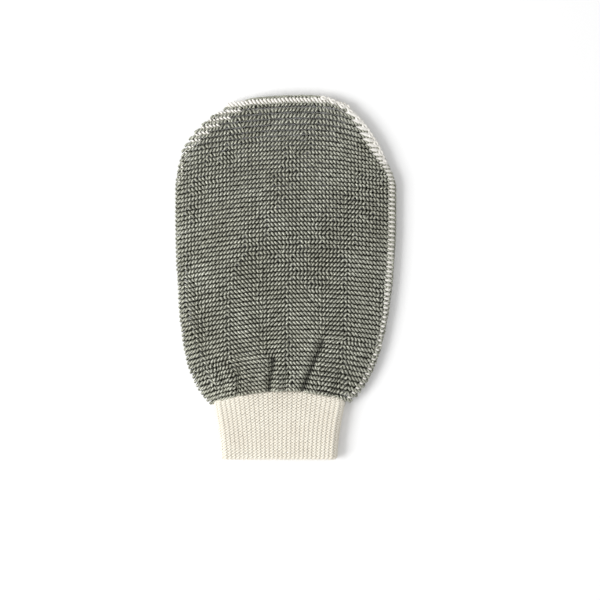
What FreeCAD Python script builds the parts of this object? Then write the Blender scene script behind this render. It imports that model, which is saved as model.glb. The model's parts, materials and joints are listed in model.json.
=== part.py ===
import FreeCAD, Part
import Sketcher
import math
import os

# A hand mitt knitted from fine steel yarn, with no thumb and no fingers, on a doubled cotton rib
# cuff. It lies flat on its back: the wrist points along -Y, the rounded crown along +Y, and +Z
# is up. The origin is on the resting face, under the middle of the length and of the width.
#
# The bag and the cuff are lofts of flattened sections that stand across the mitt, centred at the
# height of the side seam: ellipses in the bag, cut off flat where the cloth rests, and slots with
# round ends in the cuff. Every layer and thread is a slice between two insets of such a loft.

SIZES = [
    ("overall_length", 250.0, "hem to crown"),
    ("cuff_height", 39.5, "hem to the wrist line, where the cuff meets the bag"),
    ("full_width_line", 164.0, "hem to where the bag reaches its full width"),
    ("crown_line", 185.0, "hem to where the crown begins to close"),
    ("bag_half_width", 74.6, "half of the widest part of the bag"),
    ("wrist_half_width", 45.9, "half of the width at the wrist line"),
    ("mouth_half_width", 38.5, "half of the width at the hem"),
    ("crown_end_half_width", 12.0, "half of the nearly straight top edge"),
    ("flare_power", 3.3, "how suddenly the bag flares above the wrist"),
    ("crown_power", 2.17, "how square the crown is, 2 being an ellipse"),
    ("wrist_shift", -4.6, "how far the wrist lies to one side of the middle"),
    ("crown_shift", 4.0, "how far the top of the crown leans to the other side"),
    ("seam_height", 6.0, "height of the side seam and of the fold above the rest face"),
    ("bag_half_height", 12.0, "half height of the section where the bag is fullest"),
    ("wrist_half_height", 7.5, "half height of the section at the wrist line"),
    ("crown_end_half_height", 4.0, "half height of the section at the top edge"),
    ("knit_thickness", 2.0, "steel knit, one layer"),
    ("rib_thickness", 1.1, "cotton rib, one layer"),
    ("rib_gap", 0.8, "space between the two layers of the cuff"),
    ("elastic_thickness", 0.5, "elastic thread, laid in between the cuff's layers"),
    ("elastic_width", 0.8, "width of the elastic thread along the cuff"),
    ("elastic_spacing", 8.5, "from one elastic thread to the next"),
    ("thread_thickness", 0.8, "sewing thread of the wrist seam"),
    ("wrist_seam_offset", 4.2, "wrist line to the nearest thread of the wrist seam"),
    ("wrist_seam_spacing", 1.5, "from one thread of the wrist seam to the next"),
    ("seam_half_height", 1.7, "half of the gap that the edge seam fills between the panels"),
    ("looper_height", 1.5, "one looper thread of the edge seam"),
    ("looper_depth", 1.6, "how far the looper threads reach in from the edge"),
    ("needle_depth", 2.6, "how far the needle thread reaches in from the edge"),
    ("needle_half_height", 0.5, "half of the needle thread"),
    ("thread_clearance", 0.1, "air between threads, and between threads and cloth"),
    ("seam_start_line", 219.0, "hem to where the edge seam starts on the folded side"),
    ("bend_limit", 45.0, "how far the cuff can bend up at the wrist line, in degrees"),
    ("bend_relief", 0.8, "extra opening of the wrist notch, in degrees"),
    ("joint_gap", 0.3, "air between the bag and the cuff at the wrist line"),
    ("margin", 20.0, "how far cutting tools stand out beyond the cloth"),
]

ELASTIC_THREADS = 4
# Stations of the bag: a fraction of the way from the full width down to the wrist line, with one
# beyond it to be trimmed, and a fraction of the way from the crown line to the top edge.
FLARE_STATIONS = [1.06, 1.0, 0.92, 0.8, 0.66, 0.5, 0.3, 0.0]
CROWN_STATIONS = [0.0, 0.25, 0.45, 0.62, 0.76, 0.87, 0.95]
# Stations of the cuff: a fraction of the way from the hem up to the wrist line. The cuff tapers
# evenly, so two make it, and its hollow starts outside the hem and ends further in.
CUFF_STATIONS = (0.0, 1.2)
CUFF_HOLLOW_STATIONS = (-0.2, 1.4)

doc = FreeCAD.newDocument("Mitt")
sheet = doc.addObject("Spreadsheet::Sheet", "Sizes")
for row, (alias, value, meaning) in enumerate(SIZES, start=1):
    sheet.set(f"A{row}", alias)
    sheet.set(f"B{row}", str(value))
    sheet.set(f"C{row}", meaning)
    sheet.setAlias(f"B{row}", alias)
doc.recompute()


def size(alias):
    """The value of one driving dimension."""
    return float(sheet.get(alias))


def bind(item, **expressions):
    """Bind properties of a document object to expressions on the sheet's aliases."""
    for name, expression in expressions.items():
        item.setExpression(name.replace("__", "."), named(expression))


def named(expression):
    """Write an expression with each alias as a reference to the sheet."""
    for alias, _, _ in sorted(SIZES, key=lambda entry: -len(entry[0])):
        expression = expression.replace(f"<{alias}>", f"Sizes.{alias}")
    return expression


def flare_section(part):
    """Section of the bag below its full width, at a fraction of the way to the wrist line."""
    return {
        "along": f"<full_width_line> - {part} * (<full_width_line> - <cuff_height>)",
        "half_width": f"<bag_half_width> - (<bag_half_width> - <wrist_half_width>)"
        f" * {part} ^ <flare_power>",
        "half_height": f"<bag_half_height> - (<bag_half_height> - <wrist_half_height>)"
        f" * {part} ^ 3",
        "shift": f"<wrist_shift> * {part} ^ 2",
        "facing": (1.0, 0.0),
    }


def crown_section(part):
    """Section of the crown, a superellipse in plan, at a fraction of the way to the top edge."""
    power = size("crown_power")
    rise = size("overall_length") - size("crown_line")
    width = (1 - part**power) ** (1 / power)
    across = width ** (power - 1) / size("bag_half_width")
    upward = part ** (power - 1) / rise
    steepness = math.hypot(across, upward)
    return {
        "along": f"<crown_line> + {part} * (<overall_length> - <crown_line>)",
        "half_width": f"<bag_half_width> * (1 - {part} ^ <crown_power>) ^ (1 / <crown_power>)",
        "half_height": f"<crown_end_half_height> + (<bag_half_height> - <crown_end_half_height>)"
        f" * sqrt(1 - {part} ^ 2)",
        "shift": f"<crown_shift> * {part} ^ 4",
        "facing": (across / steepness, upward / steepness),
    }


def crown_end_section():
    """The nearly straight top edge of the bag."""
    return {
        "along": "<overall_length>",
        "half_width": "<crown_end_half_width>",
        "half_height": "<crown_end_half_height>",
        "shift": "<crown_shift>",
        "facing": (1.0, 1.0),
    }


BAG_SECTIONS = (
    [flare_section(part) for part in FLARE_STATIONS]
    + [crown_section(part) for part in CROWN_STATIONS]
    + [crown_end_section()]
)

# Turns a section from the plan to stand across the mitt.
UPRIGHT = FreeCAD.Placement(
    FreeCAD.Vector(0, 0, 0), FreeCAD.Rotation(FreeCAD.Vector(1, 0, 0), 90)
)


def box(label, low, high):
    """An axis-parallel box between two corners, each coordinate an expression."""
    item = doc.addObject("Part::Box", label)
    for axis, start, end, side in zip("xyz", low, high, ("Length", "Width", "Height")):
        bind(item, **{f"Placement__Base__{axis}": start, side: f"({end}) - ({start})"})
    return item


def boolean(kind, label, base, tool):
    """A Part boolean of two document objects."""
    item = doc.addObject(f"Part::{kind}", label)
    item.Base = base
    item.Tool = tool
    return item


def loft(label, sections):
    """A smooth solid through closed sections."""
    item = doc.addObject("Part::Loft", label)
    item.Sections = sections
    item.Solid = True
    return item


def bag_envelope(inset):
    """The closed body of the bag, drawn in by an inset."""
    label = f"bag_envelope_{len(envelopes)}"
    sections = []
    for number, section in enumerate(BAG_SECTIONS):
        across, upward = section["facing"]
        ellipse = doc.addObject("Part::Ellipse", f"{label}_section_{number}")
        ellipse.Placement = UPRIGHT
        bind(
            ellipse,
            MajorRadius=f"{section['half_width']} - ({inset}) * {across}",
            MinorRadius=f"{section['half_height']} - ({inset})",
            Placement__Base__x=section["shift"],
            Placement__Base__y=f"{section['along']} - ({inset}) * {upward}"
            " - <overall_length> / 2",
            Placement__Base__z="<seam_height>",
        )
        sections.append(ellipse)
    # Only the part above the rest face, or above the floor of this inset, is cloth or air.
    air = box(
        f"{label}_above_floor",
        ("-<bag_half_width> - <margin>", "-<overall_length>", inset),
        ("<bag_half_width> + <margin>", "<overall_length>", "<bag_half_height> * 3"),
    )
    return boolean("Common", f"{label}_body", loft(f"{label}_loft", sections), air)


def cuff_sketch(label, part, inset):
    """A slot with round ends across the cuff, at a fraction of the way up to the wrist line."""
    reach = size("mouth_half_width")
    radius = size("seam_height")
    middles = [FreeCAD.Vector(reach, 0, 0), FreeCAD.Vector(-reach, 0, 0)]
    up = FreeCAD.Vector(0, radius, 0)
    quarter = math.pi / 2
    sketch = doc.addObject("Sketcher::SketchObject", label)
    sketch.Placement = UPRIGHT
    circles = [Part.Circle(middle, FreeCAD.Vector(0, 0, 1), radius) for middle in middles]
    right = sketch.addGeometry(Part.ArcOfCircle(circles[0], -quarter, quarter))
    left = sketch.addGeometry(Part.ArcOfCircle(circles[1], quarter, 3 * quarter))
    top = sketch.addGeometry(Part.LineSegment(middles[1] + up, middles[0] + up))
    bottom = sketch.addGeometry(Part.LineSegment(middles[1] - up, middles[0] - up))
    start, end, centre, x_axis = 1, 2, 3, -1
    for line, line_end, arc, arc_end in (
        (top, start, left, start),
        (top, end, right, end),
        (bottom, start, left, end),
        (bottom, end, right, start),
    ):
        sketch.addConstraint(Sketcher.Constraint("Tangent", line, line_end, arc, arc_end))
    sketch.addConstraint(Sketcher.Constraint("Equal", right, left))
    sketch.addConstraint(Sketcher.Constraint("Symmetric", right, centre, left, centre, -1, 1))
    sketch.addConstraint(Sketcher.Constraint("PointOnObject", right, centre, x_axis))
    radius_rule = sketch.addConstraint(Sketcher.Constraint("Radius", right, radius))
    sketch.renameConstraint(radius_rule, "end_radius")
    reach_rule = sketch.addConstraint(
        Sketcher.Constraint("DistanceX", -1, 1, right, centre, reach)
    )
    sketch.renameConstraint(reach_rule, "centre_reach")
    bind(
        sketch,
        Constraints__end_radius=f"<seam_height> - ({inset})",
        Constraints__centre_reach="<mouth_half_width> - <seam_height>"
        f" + (<wrist_half_width> - <mouth_half_width>) * {part}",
        Placement__Base__x="<wrist_shift>",
        Placement__Base__y=f"{part} * <cuff_height> - <overall_length> / 2",
        Placement__Base__z="<seam_height>",
    )
    return sketch


def cuff_envelope(inset, stations):
    """The closed body of the cuff between two stations, drawn in by an inset."""
    label = f"cuff_envelope_{len(envelopes)}"
    sketches = [
        cuff_sketch(f"{label}_section_{number}", part, inset)
        for number, part in enumerate(stations)
    ]
    return loft(f"{label}_body", sketches)


envelopes = {}


def body_within(make, *rules):
    """An envelope, made once for its rules and shared."""
    if rules not in envelopes:
        envelopes[rules] = make(*rules)
    return envelopes[rules]


def bag_layer(label, outer, inner):
    """The layer of the bag between an outer and an inner inset."""
    filled = body_within(bag_envelope, outer)
    return boolean("Cut", label, filled, body_within(bag_envelope, inner))


def cuff_layer(label, outer, inner):
    """The layer of the cuff between an outer and an inner inset, open at both ends."""
    filled = body_within(cuff_envelope, outer, CUFF_STATIONS)
    return boolean("Cut", label, filled, body_within(cuff_envelope, inner, CUFF_HOLLOW_STATIONS))


def between(label, item, low, high):
    """The part of an object between two distances from the hem."""
    slab = box(
        f"{label}_slab",
        ("-<bag_half_width> - <margin>", f"{low} - <overall_length> / 2", "-<margin>"),
        ("<bag_half_width> + <margin>", f"{high} - <overall_length> / 2", "<bag_half_height> * 3"),
    )
    return boolean("Common", label, item, slab)


def wrist_notch(side):
    """What bag or cuff leaves free at the wrist line, so that the cuff can bend up.

    Below the hinge line the two ends stand parallel. Above it each slopes back by half of the
    bend limit. side is 1 for the tool that trims the bag and -1 for the one that trims the cuff.
    """
    label = "bag_end" if side > 0 else "cuff_end"
    reach = "<overall_length>"
    near = f"<cuff_height> - <overall_length> / 2 + {side} * <joint_gap> / 2"
    far = f"{near} - {side} * {reach}"
    ends = (far, near) if side > 0 else (near, far)
    upright = box(
        f"{label}_upright",
        ("-<bag_half_width> - <margin>", ends[0], "-<margin>"),
        ("<bag_half_width> + <margin>", ends[1], "<bag_half_height> * 3"),
    )
    sloping = doc.addObject("Part::Box", f"{label}_sloping")
    angle = f"{-side} * (<bend_limit> + <bend_relief>) / 2"
    # The box is turned about the hinge line, with its near face half of the joint gap off it.
    offset = f"{side} * <joint_gap> / 2" + (f" - {reach}" if side > 0 else "")
    bind(
        sloping,
        Length="2 * (<bag_half_width> + <margin>)",
        Width=reach,
        Height=f"2 * {reach}",
        Placement__Rotation__Angle=angle,
        Placement__Base__x="-<bag_half_width> - <margin>",
        Placement__Base__y="<cuff_height> - <overall_length> / 2"
        f" + ({offset}) * cos({angle}) + {reach} * sin({angle})",
        Placement__Base__z=f"<seam_height> + ({offset}) * sin({angle}) - {reach} * cos({angle})",
    )
    sloping.Placement.Rotation.Axis = FreeCAD.Vector(1, 0, 0)
    return boolean("Fuse", f"{label}_tool", upright, sloping)


BAG_END = wrist_notch(1)
CUFF_END = wrist_notch(-1)


def make_panels():
    """The knitted blank, folded along the left side, as its upper and its lower half."""
    wall = bag_layer("knit_wall", "0", "<knit_thickness>")
    trimmed = boolean("Cut", "knit_wall_trimmed", wall, BAG_END)
    side = "<bag_half_width> + <margin>"
    low, high = "-<overall_length>", "<overall_length>"
    seam_gap = boolean(
        "Fuse",
        "seam_gap",
        box(
            "seam_gap_side",
            ("0", low, "<seam_height> - <seam_half_height>"),
            (side, high, "<seam_height> + <seam_half_height>"),
        ),
        box(
            "seam_gap_crown",
            (
                f"-({side})",
                "<seam_start_line> - <overall_length> / 2",
                "<seam_height> - <seam_half_height>",
            ),
            ("1", high, "<seam_height> + <seam_half_height>"),
        ),
    )
    opened = boolean("Cut", "knit_wall_opened", trimmed, seam_gap)
    above = box(
        "above_seam",
        (f"-({side})", low, "<seam_height>"),
        (side, high, "<bag_half_height> * 3"),
    )
    front = boolean("Common", "front_panel", opened, above)
    back = boolean("Cut", "back_panel", opened, above)
    return [front, back]


def make_edge_threads():
    """The three threads of the overlock seam, along the crown and down the right side.

    The loopers run to the end of the bag. The needle thread is cut off above the wrist seam.
    """
    threads = {
        "edge_upper_looper_thread": (
            "0",
            "<looper_depth>",
            "<seam_height> + <thread_clearance> / 2",
            "<seam_height> + <looper_height>",
            "0",
        ),
        "edge_lower_looper_thread": (
            "0",
            "<looper_depth>",
            "<seam_height> - <looper_height>",
            "<seam_height> - <thread_clearance> / 2",
            "0",
        ),
        "edge_needle_thread": (
            "<looper_depth> + <thread_clearance>",
            "<needle_depth>",
            "<seam_height> - <needle_half_height>",
            "<seam_height> + <needle_half_height>",
            "<wrist_seam_offset> + 3 * <wrist_seam_spacing>",
        ),
    }
    side = "<bag_half_width> + <margin>"
    high = "<overall_length>"
    made = []
    for label, (outer, inner, floor, ceiling, end) in threads.items():
        layer = bag_layer(f"{label}_layer", outer, inner)
        trimmed = boolean("Cut", f"{label}_trimmed", layer, BAG_END)
        start = "<seam_start_line> + <thread_clearance> - <overall_length> / 2"
        end = f"{end} + <cuff_height> - <overall_length> / 2"
        run = boolean(
            "Fuse",
            f"{label}_run",
            box(f"{label}_side", ("<thread_clearance>", end, floor), (side, high, ceiling)),
            box(f"{label}_crown", (f"-({side})", start, floor), ("1", high, ceiling)),
        )
        made.append(boolean("Common", label, trimmed, run))
    return made


def make_wrist_threads():
    """The three threads that sew the cuff on, as rings inside the wrist end of the bag."""
    names = ["wrist_needle_thread", "wrist_upper_looper_thread", "wrist_lower_looper_thread"]
    outer = "<knit_thickness> + <thread_clearance>"
    ring_layer = bag_layer("wrist_thread_layer", outer, f"{outer} + <thread_thickness>")
    made = []
    for number, label in enumerate(names):
        low = f"<cuff_height> + <wrist_seam_offset> + {number} * <wrist_seam_spacing>"
        made.append(between(label, ring_layer, low, f"{low} + <thread_thickness>"))
    return made


def make_cuff_layers():
    """The rib tube, turned double at the hem: its outer and its inner layer."""
    layers = {
        "cuff_outer_layer": ("0", "<rib_thickness>"),
        "cuff_inner_layer": ("<rib_thickness> + <rib_gap>", "2 * <rib_thickness> + <rib_gap>"),
    }
    made = []
    for label, (outer, inner) in layers.items():
        layer = cuff_layer(f"{label}_full", outer, inner)
        made.append(boolean("Cut", label, layer, CUFF_END))
    return made


def make_elastic_threads():
    """Elastic threads around the cuff, between its two layers."""
    outer = "<rib_thickness> + (<rib_gap> - <elastic_thickness>) / 2"
    ring_layer = cuff_layer("elastic_layer", outer, f"{outer} + <elastic_thickness>")
    made = []
    for number in range(ELASTIC_THREADS):
        low = f"<elastic_spacing> * ({number} + 0.5)"
        label = f"elastic_thread_{number + 1}"
        made.append(between(label, ring_layer, low, f"{low} + <elastic_width>"))
    return made


pieces = (
    make_panels()
    + make_edge_threads()
    + make_wrist_threads()
    + make_cuff_layers()
    + make_elastic_threads()
)
doc.recompute()

for item in doc.Objects:
    if "Invalid" in item.State or "Error" in item.State:
        raise RuntimeError(f"{item.Label} did not build: {item.State}")
for piece in pieces:
    if piece.Shape.isNull() or not piece.Shape.isValid() or not piece.Shape.Solids:
        raise RuntimeError(f"{piece.Label} has no valid solid")

os.makedirs("parts", exist_ok=True)
for piece in pieces:
    piece.Shape.exportStep(os.path.join("parts", f"{piece.Label}.step"))
    bounds = piece.Shape.optimalBoundingBox()
    print(
        f"{piece.Label}: {len(piece.Shape.Solids)} solid, {piece.Shape.Volume:.1f} mm3,"
        f" x {bounds.XMin:.1f}..{bounds.XMax:.1f},"
        f" y {bounds.YMin:.1f}..{bounds.YMax:.1f},"
        f" z {bounds.ZMin:.1f}..{bounds.ZMax:.1f}"
    )
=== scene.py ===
import json
import math

import bpy
import numpy as np
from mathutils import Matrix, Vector


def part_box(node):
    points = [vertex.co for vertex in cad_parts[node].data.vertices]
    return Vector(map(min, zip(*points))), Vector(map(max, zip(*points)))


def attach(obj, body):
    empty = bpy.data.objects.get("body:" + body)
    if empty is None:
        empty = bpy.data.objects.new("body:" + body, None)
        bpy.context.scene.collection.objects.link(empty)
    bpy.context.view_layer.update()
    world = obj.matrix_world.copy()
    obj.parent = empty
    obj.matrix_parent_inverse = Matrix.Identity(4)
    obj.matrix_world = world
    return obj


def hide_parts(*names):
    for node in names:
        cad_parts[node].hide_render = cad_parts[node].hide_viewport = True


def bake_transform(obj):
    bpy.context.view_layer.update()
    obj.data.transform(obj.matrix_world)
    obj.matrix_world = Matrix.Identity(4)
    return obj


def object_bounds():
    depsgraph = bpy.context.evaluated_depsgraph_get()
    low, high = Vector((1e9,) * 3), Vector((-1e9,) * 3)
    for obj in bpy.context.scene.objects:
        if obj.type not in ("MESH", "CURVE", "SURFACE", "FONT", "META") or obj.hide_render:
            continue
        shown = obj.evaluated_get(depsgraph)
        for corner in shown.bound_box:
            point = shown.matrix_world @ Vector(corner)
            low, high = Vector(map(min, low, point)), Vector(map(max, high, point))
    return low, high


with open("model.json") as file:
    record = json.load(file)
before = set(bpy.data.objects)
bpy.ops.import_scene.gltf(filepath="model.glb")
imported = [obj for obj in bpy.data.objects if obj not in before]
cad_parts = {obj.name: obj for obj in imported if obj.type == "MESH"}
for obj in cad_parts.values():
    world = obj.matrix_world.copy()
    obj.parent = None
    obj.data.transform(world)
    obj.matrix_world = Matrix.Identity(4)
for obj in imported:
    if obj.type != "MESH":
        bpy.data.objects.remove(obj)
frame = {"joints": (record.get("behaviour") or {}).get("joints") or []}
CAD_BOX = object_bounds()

# The mitt is built yarn by yarn. Lengths are in millimetres and y is measured from the cuff's hem,
# until a mesh is made, which is in metres in the frame. "up" is 1 for the upper half of the bag
# and -1 for the half that it lies on. A RANGE says where a smooth step starts and where it ends.

MM = 0.001
TINY = 1e-6
RNG = np.random.default_rng(11)

# ---------------------------------------------------------------- the frame's own sizes

LENGTH = (CAD_BOX[1].y - CAD_BOX[0].y) / MM
HALF_WIDTH = (CAD_BOX[1].x - CAD_BOX[0].x) / 2 / MM
HINGE = frame["joints"][0]["pos_m"]
WRIST_LINE = HINGE[1] / MM + LENGTH / 2
SEAM_HEIGHT = HINGE[2] / MM
WRIST_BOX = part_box("cuff_outer_layer")
WRIST_SHIFT = (WRIST_BOX[0].x + WRIST_BOX[1].x) / 2 / MM
WRIST_HALF = (WRIST_BOX[1].x - WRIST_BOX[0].x) / 2 / MM

# ---------------------------------------------------------------- small helpers


def smooth_step(value, low, high):
    """0 up to low and 1 from high on, with an even change between them."""
    t = np.clip((value - low) / (high - low), 0, 1)
    return t * t * (3 - 2 * t)


def running_sum(steps):
    """The sum of the steps so far, which starts at 0."""
    return np.concatenate([[0], np.cumsum(steps)])


def running_length(points):
    """The distance travelled so far along points."""
    return running_sum(np.linalg.norm(np.diff(points, axis=0), axis=1))


def segment_distance(x, y, start, end):
    """Distance in the plan to a line from start to end."""
    dx, dy = end[0] - start[0], end[1] - start[1]
    t = np.clip(((x - start[0]) * dx + (y - start[1]) * dy) / (dx * dx + dy * dy), 0, 1)
    return np.hypot(x - start[0] - t * dx, y - start[1] - t * dy)


# ---------------------------------------------------------------- outline of the bag

FULL_WIDTH_LINE = 164.0
CROWN_LINE = 185.0
SEAM_START_LINE = 219.0
FLARE_LIMIT = 1.1
TAPER = 14.4
END_TAPER = 12.0
END_TAPER_POWER = 8
CROWN_LIMIT = 0.9999
CROWN_POWER = 2.08
CROWN_SHIFT = 4.0
SHOULDER_CUT = 2.45
SHOULDER_CUT_EASE = 0.35


def flare(y):
    """0 at the full width, 1 at the wrist line, and a little more below it."""
    return np.clip((FULL_WIDTH_LINE - y) / (FULL_WIDTH_LINE - WRIST_LINE), 0, FLARE_LIMIT)


def crown(y):
    """0 at the crown line and nearly 1 at the very top."""
    return np.clip((y - CROWN_LINE) / (LENGTH - CROWN_LINE), 0, CROWN_LIMIT)


def shoulder_cut(part):
    """Half of what the right shoulder lacks against the left, at a part of the crown's height."""
    ease = 1 - (1 - np.clip(part / SHOULDER_CUT_EASE, 0, 1)) ** 2
    return SHOULDER_CUT * np.sin(math.pi * part) * ease


def half_width(y):
    """Half of the bag's width, which shrinks evenly and then suddenly towards the cuff."""
    flank = HALF_WIDTH - TAPER * flare(y) ** 2 - END_TAPER * flare(y) ** END_TAPER_POWER
    return flank * (1 - crown(y) ** CROWN_POWER) ** (1 / CROWN_POWER) - shoulder_cut(crown(y))


def middle(y):
    """Where the middle of the bag's width lies."""
    crown_shift = CROWN_SHIFT * crown(y) ** 4 - shoulder_cut(crown(y))
    return WRIST_SHIFT * flare(y) ** 2 + crown_shift


# ---------------------------------------------------------------- lie of the courses

COURSE_PITCH = 3.07
WALE_PITCH = 2.5
JOIN_APEX = 46.7

# The courses bow. Near the wrist the highest point is further to the left and the bow is stronger.
BOW_LINE = 45
BOW_FADE = 30
BOW_APEX = 20
BOW_WRIST_SHIFT = 23.5
BOW_BEND = 0.0010
BOW_WRIST_BEND = 0.0031
CROWN_DROOP = 9.0
CROWN_DROOP_RANGE = (8, 62)


def course_bow(y):
    """Where a course's highest point is, and how much it bends down to both sides."""
    near_wrist = np.exp(-np.clip(y - BOW_LINE, 0, None) / BOW_FADE)
    return BOW_APEX - BOW_WRIST_SHIFT * near_wrist, BOW_BEND + BOW_WRIST_BEND * near_wrist


def course_line(x, y_top):
    """How far from the hem a course lies, which has its highest point at y_top."""
    apex, bend = course_bow(y_top)
    droop = CROWN_DROOP * crown(y_top) * smooth_step(x, *CROWN_DROOP_RANGE) ** 2
    return y_top - bend * (x - apex) ** 2 - droop


def join_line(x):
    """Where the bag meets the cuff, bowed like the first course."""
    return course_line(x, JOIN_APEX)


# ---------------------------------------------------------------- height of the bag

BAG_HEIGHT = 11.2
WRIST_HEIGHT = 6.4
CROWN_FALL = 0.72
SIDE_FALL = 0.82
UNDERSIDE_DEPTH = 4.4
TUCK_DEPTH = 1.3
TUCK_LENGTH = 2.2

# Folds where the knit is gathered into the cuff: start and end in the plan, depth and width.
CREASES = [
    ((-8, 69), (-11, 47), 3.2, 2.7),
    ((25, 80), (11, 46), 3.2, 2.8),
    ((-31, 60), (-33, 42), 2.2, 2.4),
    ((1, 62), (-1, 47), 1.3, 2.0),
    ((37, 62), (31, 41), 1.6, 2.2),
    ((-46, 64), (-38, 42), 1.6, 2.4),
    ((-22, 100), (-6, 68), 0.7, 5.0),
    ((40, 112), (26, 84), 0.7, 5.0),
    ((-58, 198), (-12, 231), 0.8, 6.0),
]

# The cloth swells beside a fold: by a share of its depth, at so many of its widths.
SWELL_SHARE = 0.35
SWELL_PLACE = 2.1
SWELL_WIDTH = 1.2

# Waves of the cloth: their heights, and the distances over which they turn by one radian.
WAVE_HEIGHT = 0.35
WAVE_LENGTHS = (11.0, 14.0)
WAVE_PHASES = (0.7, 0.4)
RIPPLE_HEIGHT = 0.22
RIPPLE_LENGTHS = (5.2, 17.0)
CALM_POWER = 6
FULL_RELIEF_HEIGHT = 3
FOLD_SHADE = 0.62

SLOPE_STEP = 0.35
RIM_RANGE = (0.97, 1.0)
RIM_SLOPE = 3.0


def relief(x, y):
    """Gathers and slow waves of the cloth, in millimetres outwards."""
    out = np.zeros_like(x)
    for start, end, depth, width in CREASES:
        distance = segment_distance(x, y, start, end)
        out -= depth * np.exp(-((distance / width) ** 2))
        beside = (distance - SWELL_PLACE * width) / (SWELL_WIDTH * width)
        out += SWELL_SHARE * depth * np.exp(-(beside**2))
    across, along = x / WAVE_LENGTHS[0] + WAVE_PHASES[0], y / WAVE_LENGTHS[1] + WAVE_PHASES[1]
    out += WAVE_HEIGHT * np.sin(across) * np.sin(along)
    out += RIPPLE_HEIGHT * np.sin(x / RIPPLE_LENGTHS[0] + y / RIPPLE_LENGTHS[1])
    return out


def fold_shade(x, y):
    """How much less light reaches the bottom of a fold, as a lower place in the cloth."""
    return np.minimum(FOLD_SHADE * relief(x, y), 0)


def from_middle(x, y):
    """How far out a point lies, from 0 in the middle to 1 or -1 at the edges."""
    return (x - middle(y)) / np.maximum(half_width(y), TINY)


def bag_height(x, y, up):
    """Height of the cloth above or below the seam plane."""
    grown = (1 - flare(y) ** 3) * (BAG_HEIGHT - WRIST_HEIGHT) + WRIST_HEIGHT
    body = grown * (1 - crown(y) ** 2) ** CROWN_FALL
    across = np.clip(from_middle(x, y), -1, 1)
    height = body * (1 - across**2) ** SIDE_FALL
    if up < 0:
        return UNDERSIDE_DEPTH * np.tanh(height / UNDERSIDE_DEPTH)
    calm = 1 - np.abs(across) ** CALM_POWER
    relieved = relief(x, y) * calm * np.minimum(height / FULL_RELIEF_HEIGHT, 1)
    tuck = TUCK_DEPTH * np.exp(-np.clip(y - join_line(x), 0, None) / TUCK_LENGTH)
    return np.maximum(height + relieved - tuck, 0)


def bag_point(x, y, up):
    return np.stack([x, y, SEAM_HEIGHT + up * bag_height(x, y, up)], -1)


def bag_normal(x, y, up):
    """Outward direction of the cloth, from finite differences, tilted outwards at the rim."""
    slope_x, slope_y = (
        (bag_height(x + dx, y + dy, up) - bag_height(x - dx, y - dy, up)) / (2 * SLOPE_STEP)
        for dx, dy in ((SLOPE_STEP, 0), (0, SLOPE_STEP))
    )
    steep = smooth_step(np.abs(from_middle(x, y)), *RIM_RANGE) * RIM_SLOPE
    slope_x = slope_x - steep * np.sign(x - middle(y))
    normal = np.stack([-slope_x, -slope_y, np.full_like(x, up)], -1)
    return normal / np.linalg.norm(normal, axis=-1, keepdims=True)


# ---------------------------------------------------------------- the bag as a grid of courses


class Cloth:
    """A grid of courses (rows) by places along a course, from which yarns are read."""

    LAST_CELL = 1.001

    def __init__(self, points, normals, first_row, places, creased=False):
        self.points = points
        self.normals = normals
        self.first_row = first_row
        self.places = places
        self.creased = creased

    def read(self, row, place):
        """Point and outward direction at a fractional row and a place along the course."""
        rows, columns = self.points.shape[:2]
        r = np.clip(row - self.first_row, 0, rows - self.LAST_CELL)
        c = (place - self.places[0]) / (self.places[1] - self.places[0])
        c = np.clip(c, 0, columns - self.LAST_CELL)
        r0, c0 = r.astype(int), c.astype(int)
        fr, fc = (r - r0)[..., None], (c - c0)[..., None]

        def mix(grid):
            low = grid[r0, c0] * (1 - fc) + grid[r0, c0 + 1] * fc
            high = grid[r0 + 1, c0] * (1 - fc) + grid[r0 + 1, c0 + 1] * fc
            return low * (1 - fr) + high * fr

        normal = mix(self.normals)
        return mix(self.points), normal / np.linalg.norm(normal, axis=-1, keepdims=True)


CROWN_SPREAD = 0.42
CROWN_SPREAD_RANGE = (208, 236)
TOP_SPREAD = 0.25
TOP_SPREAD_RANGE = (239, 245)
PROFILE_STEPS = 3000
PROFILE_REACH = 40


def course_tops():
    """The courses' highest points: evenly spaced over the cloth, further apart near the top."""
    y = np.linspace(JOIN_APEX, LENGTH, PROFILE_STEPS)
    height = bag_height(middle(y), y, 1)
    window = np.ones(2 * PROFILE_REACH + 1) / (2 * PROFILE_REACH + 1)
    smooth = np.convolve(np.pad(height, PROFILE_REACH, mode="edge"), window, mode="valid")
    spread = CROWN_SPREAD * smooth_step(y[1:], *CROWN_SPREAD_RANGE)
    spread += TOP_SPREAD * smooth_step(y[1:], *TOP_SPREAD_RANGE)
    number = running_sum(np.hypot(np.diff(y), np.diff(smooth)) / (COURSE_PITCH * (1 + spread)))
    count = round(number[-1])
    return np.interp((np.arange(count) + 0.5) / count, number / number[-1], y)


COURSES = course_tops()

# The half below lies half a course along, but not at the fold, at the join or at the top.
OFFSET_FOLD_RANGE = (0, 4)
OFFSET_JOIN_RANGE = (0, 7)
OFFSET_TOP_RANGE = (3, 22)
FOLD_MARGIN = 12
FOLD_ADVANCE = 0.5

PLACE_REACH = 90
PLACE_STEP = 0.25
PLACES = np.arange(-PLACE_REACH, PLACE_REACH + PLACE_STEP, PLACE_STEP)
COARSE_STEPS = 1201
FINE_STEPS = 900
TOP_MARGIN = 0.01
TOP_ROW_MARGIN = 0.05


def half_course(x, y_top, up):
    """A course's line on one half."""
    y = course_line(x, y_top)
    if up > 0:
        return y
    from_fold = x - middle(y) + half_width(y)
    away = smooth_step(from_fold, *OFFSET_FOLD_RANGE)
    away = away * smooth_step(y - join_line(x), *OFFSET_JOIN_RANGE)
    return y + 0.5 * COURSE_PITCH * away * smooth_step(LENGTH - y, *OFFSET_TOP_RANGE)


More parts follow.
